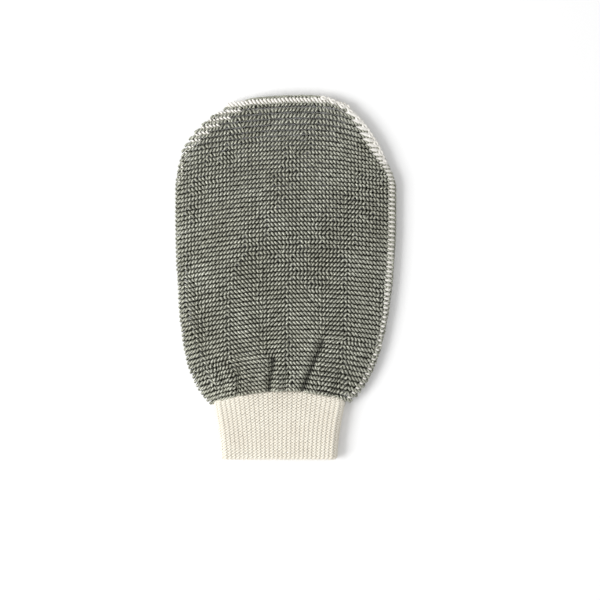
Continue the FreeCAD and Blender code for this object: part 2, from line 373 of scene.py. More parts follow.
def is_folded(y_top):
    """Whether a course runs on round the fold on its left, below the start of the edge seam."""
    return course_line(-HALF_WIDTH, y_top) < SEAM_START_LINE - FOLD_MARGIN


def top_row(up):
    """The grid's row past the last course, which is gathered at the very top."""
    count = len(PLACES)
    point = bag_point(np.full(count, CROWN_SHIFT), np.full(count, LENGTH - TOP_ROW_MARGIN), up)
    return point, np.tile([0.0, 0.8, 0.6 * up], (count, 1)), (0.0, 0.0)


def bag_row(y_top, up):
    """A course's points and outward directions at PLACES, and the places of its two ends.

    Past the ends the row lies flat, but at the fold it goes on round to the other half.
    """
    x = np.linspace(-HALF_WIDTH - 1, HALF_WIDTH + 1, COARSE_STEPS)
    y = half_course(x, y_top, up)
    reached = np.clip(y, 0, LENGTH)
    inside = (np.abs(x - middle(reached)) < half_width(reached)) & (y < LENGTH - TOP_MARGIN)
    if inside.sum() < 3:
        return top_row(up)
    low, high = x[inside][0], x[inside][-1]
    fine = np.linspace(low, high, FINE_STEPS)
    run = running_length(bag_point(fine, half_course(fine, y_top, up), 1))
    place = run - np.interp(np.clip(0.0, low, high), fine, run)
    past = np.clip(place[0] - PLACES, 0, None)
    folded = is_folded(y_top)
    at = np.interp(PLACES, place, fine) + np.clip(PLACES - place[-1], 0, None)
    at = at + (FOLD_ADVANCE * past if folded else -past)
    y_at = half_course(at, y_top, up)
    point, normal = bag_point(at, y_at, up), bag_normal(at, y_at, up)
    if folded:
        turned = past > 0
        point[turned] = bag_point(at[turned], y_at[turned], -up)
        normal[turned] = bag_normal(at[turned], y_at[turned], -up)
    return point, normal, (place[0], place[-1])


def bag_cloth(up):
    """The grid of one half of the bag, and each course's ends along itself."""
    tops = np.concatenate([[COURSES[0] - COURSE_PITCH], COURSES, [LENGTH + 1.0]])
    points, normals, ends = zip(*(bag_row(y_top, up) for y_top in tops))
    return Cloth(np.array(points), np.array(normals), -1, PLACES, up > 0), ends[1:-1]


# ---------------------------------------------------------------- yarns

# A stroke keeps its lean over a share of the pitch to both sides, and fades in at a course's ends.
LEAN_HOLD = 0.3
LEAN_SMOOTHING = 3
FADE_START = -0.4
LOOSE_OUT = 0.6

# A course is thicker where it turns round the fold, and painted darker there as shade.
TURN_RANGE = (1, 7)
TURN_SWELL = 0.15
TURN_SHADE = 0.75


def wander(size, spread, smoothness):
    """Seeded noise along a yarn, smoothed over neighbouring stitches."""
    noise = RNG.normal(0, spread, size + 2 * smoothness)
    kernel = np.hanning(2 * smoothness + 1)
    kernel /= np.sqrt((kernel**2).sum())
    return np.convolve(noise, kernel, mode="same")[smoothness : smoothness + size]


def stroke_sides(stitch, row, start, end):
    """Which way the strokes of a course lean, as 1 or -1, at places along it."""
    pitch = stitch["pitch"]
    number = math.floor(start / pitch) - 2 + np.arange(math.ceil((end - start) / pitch) + 5)
    centre = (number + 0.5) * pitch
    lean = stitch["lean"](centre, row, start)
    lean = lean + wander(len(number), stitch["stray"], LEAN_SMOOTHING)
    sign = np.where(lean > stitch["turn"], 1.0, -1.0)
    nodes = np.stack([centre - LEAN_HOLD * pitch, centre + LEAN_HOLD * pitch], 1)
    return nodes.ravel(), np.repeat(sign, 2)


def loop_course(cloth, row, start, end, stitch, folded=False):
    """One course of knitted loops, as a strand that follows the cloth from start to end.

    Each loop is a turn of a flattened helix, with one bright stroke across the cloth's face. The
    stroke leans with the cloth, and the helix turns the other way where the lean changes sides.
    """
    count = max(int(round((end - start) / stitch["pitch"] * stitch["rings"])), 2)
    place = np.linspace(start, end, count + 1)
    side = np.interp(place, *stroke_sides(stitch, row, start, end))
    turns = place / stitch["pitch"] + 0.25 * side
    angle = 2 * math.pi * turns
    front = -side * np.sin(angle)
    fade = smooth_step(np.minimum(place - start, end - place), FADE_START, stitch["fade"])
    open_end = smooth_step(end - place, FADE_START, stitch["fade"])
    rise = stitch["rise"] * np.cos(angle) * (open_end if folded else fade)
    along = stitch["lean"](place, row, start) * rise
    out = (stitch["front"] * front + stitch["arch"] * np.cos(2 * angle)) * fade
    stitches = int(np.ceil(turns[-1] - turns[0])) + 4
    nodes = np.arange(stitches) + math.floor(turns[0]) - 1
    for values, scale in ((along, 1.0), (rise, 1.0), (out, LOOSE_OUT)):
        values += np.interp(turns, nodes, wander(stitches, stitch["loose"], 1)) * scale * fade
    point, normal = cloth.read(row + rise / stitch["course"], place + along)
    # Painted shade: the bottoms of folds and the turn round the fold lower the height, so the yarn
    # is painted darker there.
    hollow = fold_shade(point[:, 0], point[:, 1]) if cloth.creased else 0
    turned = 1 - smooth_step(place - start, *TURN_RANGE) if folded else 0
    return {
        "points": point + out[:, None] * normal,
        "normals": normal,
        "radius": stitch["radius"] * (1 + stitch["swell"] * front + TURN_SWELL * turned),
        "height": out + hollow - TURN_SHADE * turned,
    }


def plain_strand(points, radius, normals=None, tip=0.6):
    """A thread along points, at one height, so that no painted hollow shade falls on it."""
    if normals is None:
        normals = np.tile([0.03, 0.05, 1.0], (len(points), 1))
    height = np.full(len(points), 0.6)
    return {"points": points, "normals": normals, "radius": radius, "height": height, "tip": tip}


# ---------------------------------------------------------------- tubes

SIDES = 6
END_CORNERS = range(1, SIDES - 2, 2)
TIP = 0.8
BAKE_STRIP = 900
BAKE_MARGIN = 0.06


def tube_rings(strand):
    """Corners of the rings along a strand, and how far each corner stands out of the cloth, so that
    a tube's top is painted lighter than its sides.
    """
    centre, outward = strand["points"], strand["normals"]
    along = np.gradient(centre, axis=0)
    along /= np.linalg.norm(along, axis=1, keepdims=True) + TINY**2
    across = np.cross(along, outward)
    across /= np.linalg.norm(across, axis=1, keepdims=True) + TINY**2
    outward = np.cross(across, along)
    radius = np.broadcast_to(np.asarray(strand["radius"], float), (len(centre),)).copy()
    radius[[0, -1]] *= strand.get("tip", TIP)
    angle = np.arange(SIDES) * 2 * math.pi / SIDES
    spoke = np.cos(angle)[None, :, None] * outward[:, None]
    spoke = spoke + np.sin(angle)[None, :, None] * across[:, None]
    corners = (centre[:, None] + radius[:, None, None] * spoke).reshape(-1, 3)
    return corners, (strand["height"][:, None] + radius[:, None] * np.cos(angle)).ravel()


def tube_faces(count):
    """Faces of a closed tube with count rings: its sides, then its two ends."""
    ring = np.arange(count - 1)[:, None] * SIDES
    near = ring + np.arange(SIDES)
    far = ring + (np.arange(SIDES) + 1) % SIDES
    sides = np.stack([near, far, far + SIDES, near + SIDES], -1).reshape(-1, 4)
    cap = np.array([[0, k, k + 1, k + 2] for k in END_CORNERS])
    return np.concatenate([sides, cap[:, ::-1], cap + (count - 1) * SIDES])


def face_map(starts, stops, bottoms, tops):
    """Map places of a tube's face corners. Its two ends take the first and the last face's."""
    a, b = np.repeat(starts, SIDES), np.repeat(stops, SIDES)
    quad = [(a, bottoms), (a, tops), (b, tops), (b, bottoms)]
    sides = np.stack([np.stack(pair, -1) for pair in quad], 1).reshape(-1, 2)
    ends = [np.tile(corners, (len(END_CORNERS), 1)) for corners in (sides[:4], sides[-4:])]
    return np.concatenate([sides, *ends])


def tube_maps(centre, first_strip, strips):
    """A tube's yarn map, in lengths and turns, its bake map, cut in strips, and the next strip."""
    number = np.arange(len(centre) - 1)
    run = running_length(centre)
    low = np.tile(np.arange(SIDES) / SIDES, len(number))
    high = low + 1 / SIDES
    yarn_map = face_map(run[:-1], run[1:], low, high)
    line = first_strip + number // BAKE_STRIP
    longest = min(BAKE_STRIP, len(number))
    left = (number % BAKE_STRIP) / longest
    floor_line = np.repeat(line, SIDES) + BAKE_MARGIN
    bottom, top = ((floor_line + (1 - 2 * BAKE_MARGIN) * edge) / strips for edge in (low, high))
    return yarn_map, face_map(left, left + 1 / longest, bottom, top), line[-1] + 1


def new_mesh(name, corner, face, heights, maps):
    """A mesh of four-cornered faces, with its maps and the height attribute that the shader paints
    shade from.
    """
    mesh = bpy.data.meshes.new(name)
    mesh.vertices.add(len(corner))
    mesh.vertices.foreach_set("co", corner.astype(np.float32).ravel())
    mesh.loops.add(face.size)
    mesh.loops.foreach_set("vertex_index", face.astype(np.int32).ravel())
    mesh.polygons.add(len(face))
    mesh.polygons.foreach_set("loop_start", np.arange(0, face.size, 4, dtype=np.int32))
    mesh.polygons.foreach_set("use_smooth", np.ones(len(face), bool))
    for label, values in maps.items():
        layer = mesh.uv_layers.new(name=label)
        layer.data.foreach_set("uv", values.astype(np.float32).ravel())
    attribute = mesh.attributes.new("Height", "FLOAT", "POINT")
    attribute.data.foreach_set("value", heights.astype(np.float32))
    mesh.update(calc_edges=True)
    return mesh


def tube_piece(name, strands, material):
    """A mesh of closed tubes along strands, with one map for the shader and one to bake on."""
    strips = sum(-(-(len(strand["points"]) - 1) // BAKE_STRIP) for strand in strands)
    corners, heights, faces, yarn_maps, bake_maps = [], [], [], [], []
    base = used = 0
    for strand in strands:
        rings, ring_heights = tube_rings(strand)
        corners.append(rings)
        heights.append(ring_heights)
        faces.append(tube_faces(len(strand["points"])) + base)
        yarn_map, bake_map, used = tube_maps(strand["points"], used, strips)
        yarn_maps.append(yarn_map)
        bake_maps.append(bake_map)
        base += len(rings)
    corner = (np.concatenate(corners) - [0, LENGTH / 2, 0]) * MM
    maps = {"Yarn": np.concatenate(yarn_maps), "OFBake": np.concatenate(bake_maps)}
    mesh = new_mesh(name, corner, np.concatenate(faces), np.concatenate(heights), maps)
    mesh.materials.append(material)
    piece = bpy.data.objects.new(name, mesh)
    bpy.context.scene.collection.objects.link(piece)
    return piece


# ---------------------------------------------------------------- shader nodes


def new_material(name):
    material = bpy.data.materials.new(name)
    material.use_nodes = True
    return material, material.node_tree, material.node_tree.nodes["Principled BSDF"]


def fill_socket(tree, socket, value):
    """Link another node's socket, or set a value."""
    if isinstance(value, bpy.types.NodeSocket):
        tree.links.new(value, socket)
    else:
        socket.default_value = value


def add_node(tree, kind, **inputs):
    """A shader node, with sockets filled by name."""
    node = tree.nodes.new(kind)
    for label, value in inputs.items():
        fill_socket(tree, node.inputs[label], value)
    return node


def math_node(tree, operation, *values):
    node = tree.nodes.new("ShaderNodeMath")
    node.operation = operation
    for socket, value in zip(node.inputs, values):
        fill_socket(tree, socket, value)
    return node.outputs[0]


def noise(tree, scale, detail=2.0):
    """Noise in the object's own place, from 0 to 1."""
    place = tree.nodes.new("ShaderNodeTexCoord").outputs["Object"]
    node = add_node(tree, "ShaderNodeTexNoise", Vector=place, Scale=scale, Detail=detail)
    return node.outputs["Fac"]


def colour_ramp(tree, factor, stops):
    node = add_node(tree, "ShaderNodeValToRGB", Fac=factor)
    ramp = node.color_ramp
    while len(ramp.elements) < len(stops):
        ramp.elements.new(0.5)
    for element, (place, colour) in zip(ramp.elements, stops):
        element.position = place
        element.color = (*colour, 1)
    return node.outputs["Color"]


def multiply_colours(tree, first, second):
    node = tree.nodes.new("ShaderNodeMix")
    node.data_type = "RGBA"
    node.blend_type = "MULTIPLY"
    node.inputs[0].default_value = 1.0
    tree.links.new(first, node.inputs[6])
    tree.links.new(second, node.inputs[7])
    return node.outputs[2]


def twist(tree, lay, plies):
    """Ridges of a twisted yarn, from 0 to 1: plies wound around it once every lay."""
    uv = tree.nodes.new("ShaderNodeUVMap")
    uv.uv_map = "Yarn"
    split = add_node(tree, "ShaderNodeSeparateXYZ", Vector=uv.outputs["UV"])
    along = math_node(tree, "MULTIPLY", split.outputs["X"], 2 * math.pi * plies / lay)
    turn = math_node(tree, "MULTIPLY_ADD", split.outputs["Y"], 2 * math.pi * plies, along)
    wave = math_node(tree, "SINE", turn)
    return math_node(tree, "MULTIPLY_ADD", wave, 0.5, 0.5)


def bump(tree, height, strength, distance):
    node = add_node(
        tree, "ShaderNodeBump", Strength=strength, Distance=distance * MM, Height=height
    )
    return node.outputs["Normal"]


def shade_height(tree, low, high):
    """How far a spot stands out of the cloth, from 0 at low to 1 at high, in millimetres, for
    painting shade.
    """
    height = tree.nodes.new("ShaderNodeAttribute")
    height.attribute_name = "Height"
    scaled = tree.nodes.new("ShaderNodeMapRange")
    scaled.inputs["From Min"].default_value = low
    scaled.inputs["From Max"].default_value = high
    tree.links.new(height.outputs["Fac"], scaled.inputs["Value"])
    return scaled.outputs["Result"]


# ---------------------------------------------------------------- materials

# Stops of colour ramps: a place from 0 to 1 and a colour.
WHITE = (1, 1, 1)
# The steel yarn's colour, painted darker as shade the lower it lies in the cloth.
STEEL_TONES_AND_SHADE = [
    (0.0, (0.16, 0.163, 0.144)),
    (0.40, (0.38, 0.388, 0.335)),
    (0.62, (0.49, 0.50, 0.435)),
    (0.80, (0.50, 0.508, 0.445)),
    (0.96, (0.57, 0.58, 0.52)),
]
STEEL_PATCHES = [(0.3, (0.78, 0.77, 0.73)), (0.7, (1.04, 1.04, 1.03))]
# Painted highlight: fine noise that lightens spots of the steel yarn.
STEEL_PAINTED_GLINTS = [(0.36, (0.8, 0.8, 0.79)), (0.64, (1.16, 1.16, 1.15))]
# Painted shade in the grooves between the steel yarn's plies.
STEEL_GROOVE_SHADE = [(0.0, (0.5, 0.49, 0.45)), (0.45, WHITE)]
# Painted shade where a soft yarn lies low in the cloth.
SOFT_HOLLOW_SHADE = [(0.25, (0.93, 0.905, 0.86)), (0.8, WHITE)]
# Painted shade in the grooves between a soft yarn's plies.
SOFT_GROOVE_SHADE = [(0.0, (0.78, 0.74, 0.68)), (0.5, WHITE)]


def steel_yarn():
    """Two-ply steel yarn, with painted light on top, painted shade in hollows and grooves, and
    painted highlight spots.
    """
    material, tree, surface = new_material("steel_yarn")
    ridges = twist(tree, lay=1.9, plies=2)
    filaments = twist(tree, lay=4.6, plies=9)
    # Painted shade: the yarn is darker the lower it lies.
    tone = colour_ramp(tree, shade_height(tree, low=-0.9, high=1.5), STEEL_TONES_AND_SHADE)
    patches = colour_ramp(tree, noise(tree, scale=46, detail=3), STEEL_PATCHES)
    # Painted highlight spots, from fine noise.
    painted_glints = colour_ramp(tree, noise(tree, scale=330, detail=1), STEEL_PAINTED_GLINTS)
    for tint in (patches, painted_glints, colour_ramp(tree, ridges, STEEL_GROOVE_SHADE)):
        tone = multiply_colours(tree, tone, tint)
    tree.links.new(tone, surface.inputs["Base Color"])
    surface.inputs["Metallic"].default_value = 0.5
    rough = math_node(tree, "MULTIPLY_ADD", noise(tree, scale=420), 0.3, 0.25)
    tree.links.new(rough, surface.inputs["Roughness"])
    height = math_node(tree, "MULTIPLY_ADD", filaments, 0.25, ridges)
    normal = bump(tree, height, strength=0.7, distance=0.16)
    tree.links.new(normal, surface.inputs["Normal"])
    return material


def soft_yarn(name, light, dark, lay, plies, fuzz):
    """Spun cotton or polyester yarn: matte, with a twist, a little fuzz and painted shade in hollows
    and grooves.
    """
    material, tree, surface = new_material(name)
    ridges = twist(tree, lay, plies)
    tone = colour_ramp(tree, noise(tree, scale=70, detail=3), [(0.35, dark), (0.65, light)])
    # Painted shade: the yarn is darker the lower it lies.
    hollows = colour_ramp(tree, shade_height(tree, low=-0.6, high=1.0), SOFT_HOLLOW_SHADE)
    for tint in (hollows, colour_ramp(tree, ridges, SOFT_GROOVE_SHADE)):
        tone = multiply_colours(tree, tone, tint)
    tree.links.new(tone, surface.inputs["Base Color"])
    surface.inputs["Roughness"].default_value = 0.92
    surface.inputs["Sheen Weight"].default_value = fuzz
    surface.inputs["Sheen Roughness"].default_value = 0.5
    surface.inputs["Specular IOR Level"].default_value = 0.2
    height = math_node(tree, "MULTIPLY_ADD", noise(tree, scale=2600, detail=3), 0.5, ridges)
    normal = bump(tree, height, strength=0.5, distance=0.12)
    tree.links.new(normal, surface.inputs["Normal"])
    return material


STEEL = steel_yarn()
COTTON = soft_yarn(
    "cotton_yarn", light=(0.83, 0.80, 0.715), dark=(0.79, 0.752, 0.665), lay=1.5, plies=2, fuzz=0.2
)
THREAD = soft_yarn(
    "sewing_thread", light=(0.96, 0.95, 0.915), dark=(0.91, 0.895, 0.85), lay=0.9, plies=3, fuzz=0.1
)
COVERED = soft_yarn(
    "covered_elastic", light=(0.84, 0.81, 0.75), dark=(0.76, 0.73, 0.66), lay=0.6, plies=2, fuzz=0.1
)

# ---------------------------------------------------------------- the two halves of the bag

# How the loops lean: with the gathers near the cuff, outwards above, and over at the fold. The
# other numbers in bag_lean's sines are distances over which the lean turns by one radian.
GATHER_LENGTH = 41.0
GATHER_CREST = -3.7
GATHER_LEAN = 0.55
GATHER_BIAS = 0.1
FLANK_LEAN = 0.32
DRIFT_LEAN = 0.24
MOTTLED_LEAN = 0.18
ABOVE_RANGE = (105, 150)
DRAWN_IN_RANGE = (75, 130)
FOLD_LEAN = 0.75
FOLD_LEAN_REACH = 7
FOLD_LEAN_EASE = 5
DRAWN_IN_LEAN = 0.2
DRAWN_IN_REACH = 5


def bag_lean(place, row, start):
    """The lean of a course's strokes at places along it."""
    y = COURSES[min(row, len(COURSES) - 1)]
    crest = (place - GATHER_CREST + y / 25) / GATHER_LENGTH
    gathers = GATHER_LEAN * np.cos(2 * math.pi * crest) - GATHER_BIAS
    flanks = -FLANK_LEAN * np.tanh((place - 4) / 45)
    flanks = flanks + DRIFT_LEAN * np.sin(place / 13 - y / 19 + 0.6)
    above = smooth_step(y + 9 * np.sin(place / 9), *ABOVE_RANGE)
    lean = gathers + (flanks - gathers) * above
    lean += MOTTLED_LEAN * np.sin(place / 4.3 + y / 9.0) * np.sin(y / 6.3 - place / 11.0)
    drawn_in = 1 - smooth_step(y, *DRAWN_IN_RANGE)
    reach = FOLD_LEAN_REACH + DRAWN_IN_REACH * drawn_in
    at_fold = smooth_step(start + reach - place, 0, FOLD_LEAN_EASE)
    return lean + (FOLD_LEAN + DRAWN_IN_LEAN * drawn_in - lean) * at_fold


# A stitch's pitch, course, rise, arch, front, loose, radius and fade are in millimetres, its lean,
# turn and stray are slopes, its rings are so many to a turn, and its swell is a share of its radius.
STEEL_STITCH = {
    "pitch": WALE_PITCH,
    "course": COURSE_PITCH,
    "rings": 14,
    "rise": 0.81,
    "arch": 0.05,
    "front": 0.7,
    "lean": bag_lean,
    "turn": 0.0,
    "stray": 0.1,
    "loose": 0.15,
    "radius": 0.675,
    "swell": 0.1,
    "fade": 1.4,
}

BAND_COURSES = 17
END_REACH = 0.7
SHOULDER_REACH = 1.6


def across_wrist(piece):
    """Bakes the piece's place into its mesh; the piece is not attached to a body."""
    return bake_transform(piece)


def make_bag_half(side, up, node):
    """One half of the knitted bag, in bands of courses."""
    cloth, ends = bag_cloth(up)
    strands = []
    for row, (start, end) in enumerate(ends):
        folded = is_folded(COURSES[row])
        start -= 0.0 if folded else SHOULDER_REACH
        end += END_REACH
        if end - start > 2 * WALE_PITCH:
            strands.append(loop_course(cloth, row, start, end, STEEL_STITCH, folded))
    for number, first in enumerate(range(0, len(strands), BAND_COURSES), start=1):
        band = strands[first : first + BAND_COURSES]
        piece = tube_piece(f"{side}_knit_{number}", band, STEEL)
        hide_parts(node)
        if number == 1:
            across_wrist(piece)
        else:
            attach(piece, "bag")


make_bag_half("front", 1, "front_panel")
make_bag_half("back", -1, "back_panel")

# ---------------------------------------------------------------- the cuff

CUFF_WALES = 58


def cuff_lean(place, row, start):
    """The rib's loops all lean one way, and more so above and on the left."""
    wale = (place - start) / RIB_STITCH["pitch"] - CUFF_WALES / 2
    return 0.12 * np.tanh((row * 0.9 - wale - 2) / 9) + 0.24 + 0.06 * np.sin(place / 5 + row)


RIB_STITCH = {
    "pitch": 2.95,
    "course": 1.92,
    "rings": 10,
    "rise": 0.76,
    "arch": 0.06,
    "front": 0.2,
    "lean": cuff_lean,
    "turn": -9.0,
    "stray": 0.05,
    "loose": 0.05,
    "radius": 0.8,
    "swell": 0.05,
    "fade": -0.39,
}

MOUTH_HALF = 39.2
WRIST_MARGIN = 1.0
CUFF_HALF_HEIGHT = 4.3
CUFF_FLARE = 1.7
CUFF_TOP = 47.0
CUFF_PLACE_STEP = 0.5
CUFF_FIRST_ROW = -3
SPARE_ROWS = 3
SPARE_WALES = 4
LAYER_STEP = 2.0
LEAST_RADIUS = 0.8
TOP_BOW = 2.4
TUCK_SLOPE = 0.45
TUCK_START = 0.5
HEM = LAYER_STEP / 2 + RIB_STITCH["radius"] + 0.1
CUFF_LIFT = RIB_STITCH["radius"] + RIB_STITCH["front"] + 0.15


def cuff_half_width(y):
    part = np.clip(y / WRIST_LINE, 0, 1.3)
    return MOUTH_HALF + (WRIST_HALF - WRIST_MARGIN - MOUTH_HALF) * part**CUFF_FLARE


def cuff_section(around, y, inset):
    """Point and outward direction on the cuff's flattened tube, from its underside's middle."""
    radius = CUFF_HALF_HEIGHT - inset
    flat = cuff_half_width(y) - CUFF_HALF_HEIGHT
    bend = math.pi * radius
    run = (around % 1.0) * (4 * flat + 2 * bend)
    turn = np.clip((run - flat) / radius, 0, math.pi)
    turn = turn + np.clip((run - 3 * flat - bend) / radius, 0, math.pi)
    across = -np.minimum(run, flat) + np.clip(run - flat - bend, 0, 2 * flat)
    across = across - np.clip(run - 3 * flat - 2 * bend, 0, flat)
    outward = np.stack([-np.sin(turn), np.zeros_like(turn), -np.cos(turn)], -1)
    x = WRIST_SHIFT + across + radius * outward[..., 0]
    z = CUFF_HALF_HEIGHT + CUFF_LIFT + radius * outward[..., 2]
    return np.stack([x, y, z], -1), outward


def cuff_row(row, places, inner):
    """A course of the rib, on the outer or the inner layer, bowed and tucked in like the bag."""
    path = row * RIB_STITCH["course"]
    turn = np.clip(-path / (LAYER_STEP / 2), 0, math.pi / 2)
    inset = LAYER_STEP / 2 * (1 - math.cos(turn))
    base = HEM + max(path, 0) - LAYER_STEP / 2 * math.sin(turn)
    around = places / (RIB_STITCH["pitch"] * CUFF_WALES)
    y = np.full(len(places), base)
    point, outward = cuff_section(around, y, inset)
    join = join_line(point[:, 0])
    y = y + (join - CUFF_TOP + TOP_BOW) * (max(base, 0) / CUFF_TOP) ** 2
    tuck = TUCK_SLOPE * np.clip(y - join + TUCK_START, 0, None)
    inset = LAYER_STEP - inset + tuck if inner else inset + tuck
    point, outward = cuff_section(around, y, np.minimum(inset, CUFF_HALF_HEIGHT - LEAST_RADIUS))
    normal = outward * math.cos(turn) * (-1 if inner else 1)
    normal[:, 1] = -math.sin(turn)
    return point, normal


def cuff_cloth(inner):
    """The rib as a grid: rows go up from the hem's turn, on the outer or the inner layer."""
    pitch = RIB_STITCH["pitch"]
    first, last = -SPARE_WALES * pitch, (CUFF_WALES + SPARE_WALES) * pitch
    places = np.arange(first, last, CUFF_PLACE_STEP)
    top = int((CUFF_TOP - HEM) / RIB_STITCH["course"])
    rows = np.arange(CUFF_FIRST_ROW, top + SPARE_ROWS)
    points, normals = zip(*(cuff_row(row, places, inner) for row in rows))
    return Cloth(np.array(points), np.array(normals), CUFF_FIRST_ROW, places), rows[-2]


def make_cuff_layer(name, inner, first_row):
    cloth, rows = cuff_cloth(inner)
    around = CUFF_WALES * RIB_STITCH["pitch"]
    strands = []
    for row in range(first_row, rows):
        strand = loop_course(cloth, row, 0, around, RIB_STITCH)
        strands.append(strand | {"tip": 1.0})
    piece = tube_piece(name, strands, COTTON)
    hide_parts(name.replace("rib", "layer"))
    across_wrist(piece)


make_cuff_layer("cuff_outer_rib", False, -1)
make_cuff_layer("cuff_inner_rib", True, 0)

ELASTIC_THREADS = 4
ELASTIC_RADIUS = 0.36
ELASTIC_RINGS = 1400
ELASTIC_WAVES = [(0.25, 29), (0.15, 46)]


def make_elastic_threads():
    """Covered elastic laid in between the cuff's layers, a little wavy where the rib relaxes."""
    around = np.linspace(0, 1, ELASTIC_RINGS)
    wave = sum(size * np.sin(2 * math.pi * count * around) for size, count in ELASTIC_WAVES)
    for number in range(1, ELASTIC_THREADS + 1):
        low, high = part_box(f"elastic_thread_{number}")
        line = (low.y + high.y) / 2 / MM + LENGTH / 2
        points, outward = cuff_section(around, line + wave, LAYER_STEP / 2)
        strand = plain_strand(points, ELASTIC_RADIUS, outward, tip=1.0)
        piece = tube_piece(f"covered_elastic_{number}", [strand], COVERED)
        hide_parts(f"elastic_thread_{number}")
        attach(piece, "cuff")


make_elastic_threads()

# ---------------------------------------------------------------- the seam along the edge

EDGE_STITCH = 3.07
CHAIN_STITCH = 7.0
THREAD_RADIUS = 0.35
EDGE_START = 1.5
EDGE_END = 1.0
EDGE_RING_STEP = 0.2
EDGE_TANGENT_STEP = 0.8
FLANK_STEPS = 400
CROWN_STEPS = 900

# The loopers meet in a chain on the rim, on the right shoulder alone.
CHAIN_Y_RANGE = (188, 212)
CHAIN_X_RANGE = (10, 28)
HIDDEN_LINE = 12
HIDDEN_RANGE = (0, 16)

# A looper's place: its depth in from the edge, its lift off the cloth, and how far both swing.
ZIGZAG = {"depth": 1.2, "depth_swing": 1.6, "lift": -1.2, "lift_swing": 0.5}
CHAIN = {"depth": 0.25, "depth_swing": 0.95, "lift": 0.9, "lift_swing": 0.25}
HIDDEN_DEPTH = 1.2
HIDDEN_DROP = 0.4
LOOPER_RADIUS = 0.34
CHAIN_SWELL = 0.6

NEEDLE_DEPTH = 3.1
NEEDLE_WANDER = 0.12
NEEDLE_WANDER_LENGTH = 3.3
NEEDLE_DIP = 0.9


def edge_path():
    """The bag's edge in the plan, from the right wrist end over the crown to the left shoulder."""
    flank = np.linspace(WRIST_LINE + EDGE_START, CROWN_LINE, FLANK_STEPS)[:-1]
    angle = np.linspace(0, math.pi, CROWN_STEPS)
    rise = np.sin(angle) ** (2 / CROWN_POWER)
    reach = np.abs(np.cos(angle)) ** (2 / CROWN_POWER) * np.sign(np.cos(angle))
    top = HALF_WIDTH * reach + CROWN_SHIFT * rise**4 - 2 * shoulder_cut(rise) * (reach > 0)
    x = np.concatenate([middle(flank) + half_width(flank), top])
    y = np.concatenate([flank, CROWN_LINE + (LENGTH - CROWN_LINE) * rise])
    keep = (x > 0) | (y > SEAM_START_LINE)
    x, y = x[keep], y[keep]
    return x, y, running_sum(np.hypot(np.diff(x), np.diff(y)))


EDGE_X, EDGE_Y, EDGE_RUN = edge_path()


def edge_place(run):
    """The edge's point in the plan at a distance along it."""
    return np.interp(run, EDGE_RUN, EDGE_X), np.interp(run, EDGE_RUN, EDGE_Y)


def edge_point(run, depth, lift, up):
    """A point by the edge seam: a distance along it, a depth in from it, a lift off the cloth."""
    x, y = edge_place(run)
    ahead_x, ahead_y = edge_place(run + EDGE_TANGENT_STEP)
    behind_x, behind_y = edge_place(run - EDGE_TANGENT_STEP)
    tx, ty = ahead_x - behind_x, ahead_y - behind_y
    size = np.hypot(tx, ty)
    x, y = x - depth * ty / size, y + depth * tx / size
    cloth = bag_height(x, np.minimum(y, LENGTH - TOP_MARGIN), up)
    return np.stack([x, y, SEAM_HEIGHT + up * (cloth + lift)], -1)


def looper_strand(run, up):
    """A looper thread: a zigzag over the edge, and a strand of the chain on the right shoulder.

    Past the top it lies further in, where the courses hide it.
    """
    x, y = edge_place(run)
    zigzag = 0.5 + 0.5 * np.cos(2 * math.pi * run / EDGE_STITCH + 0.3 * np.sin(run / 17))
    chain = np.sin(2 * math.pi * run / CHAIN_STITCH) * up
    part = smooth_step(y, *CHAIN_Y_RANGE) * smooth_step(x, *CHAIN_X_RANGE)
    hidden = smooth_step(HIDDEN_LINE - x, *HIDDEN_RANGE)
    zigzag_depth = ZIGZAG["depth"] + ZIGZAG["depth_swing"] * zigzag + HIDDEN_DEPTH * hidden
    zigzag_lift = ZIGZAG["lift_swing"] * zigzag + ZIGZAG["lift"] - HIDDEN_DROP * hidden
    chain_depth = CHAIN["depth"] + CHAIN["depth_swing"] * chain
    chain_lift = CHAIN["lift"] * up + CHAIN["lift_swing"] * chain
    depth = zigzag_depth * (1 - part) + chain_depth * part
    lift = zigzag_lift * (1 - part) + chain_lift * part
    return edge_point(run, depth, lift, up), LOOPER_RADIUS + CHAIN_SWELL * part


def gap_lean(place, row, start):
    """Looper thread leans the same way everywhere."""
    return np.full(len(place), -0.5)


GAP_STITCH = STEEL_STITCH | {
    "rise": 0.6,
    "front": 0.55,
    "arch": 0.15,
    "lean": gap_lean,
    "radius": 0.6,
    "swell": 0.1,
}
TOP_STITCH = GAP_STITCH | {"rise": 1.0, "radius": 0.75}
WRAP_RINGS = 40
WRAP_POWER = 0.7
WRAP_LIFT = 0.15
WRAP_END_RADIUS = 0.3

# Looper thread fills the gaps between courses: more of it where the crown spreads them. It lies
# this far in from a course's left end and reaches this far, and reaches this far in on the right.
LEFT_GAP_LINE = 196
LEFT_INSET = 2.0
LEFT_CROWN_INSET = 1.2
LEFT_INSET_RANGE = (205, 235)
LEFT_REACH = 4.2
LEFT_CROWN_REACH = 16
LEFT_REACH_RANGE = (214, 240)
RIGHT_REACH = 2.6
RIGHT_FLANK_REACH = 2.4
RIGHT_FLANK_RANGE = (90, 130)
RIGHT_CROWN_REACH = 5
RIGHT_CROWN_RANGE = (200, 224)
WRAP_THICKNESS = 0.5
WRAP_FLANK_THICKNESS = 0.4
WRAP_FLANK_RANGE = (60, 120)
WRAP_CROWN_THICKNESS = 0.5
WRAP_OVERHANG = 0.1


def lens_wraps(cloth, row, start, end, thickness):
    """Several wraps of thread side by side, as one strand that is fullest in its middle."""
    place = np.linspace(start, end, WRAP_RINGS)
    full = np.sin(math.pi * np.linspace(0, 1, WRAP_RINGS)) ** WRAP_POWER
    point, normal = cloth.read(np.full(WRAP_RINGS, row), place)
    return {
        "points": point + (WRAP_LIFT * full)[:, None] * normal,
        "normals": normal,
        "radius": WRAP_END_RADIUS + thickness * full,
        # An even height, near the light end of the painted shade.
        "height": np.full(WRAP_RINGS, 0.8),
    }


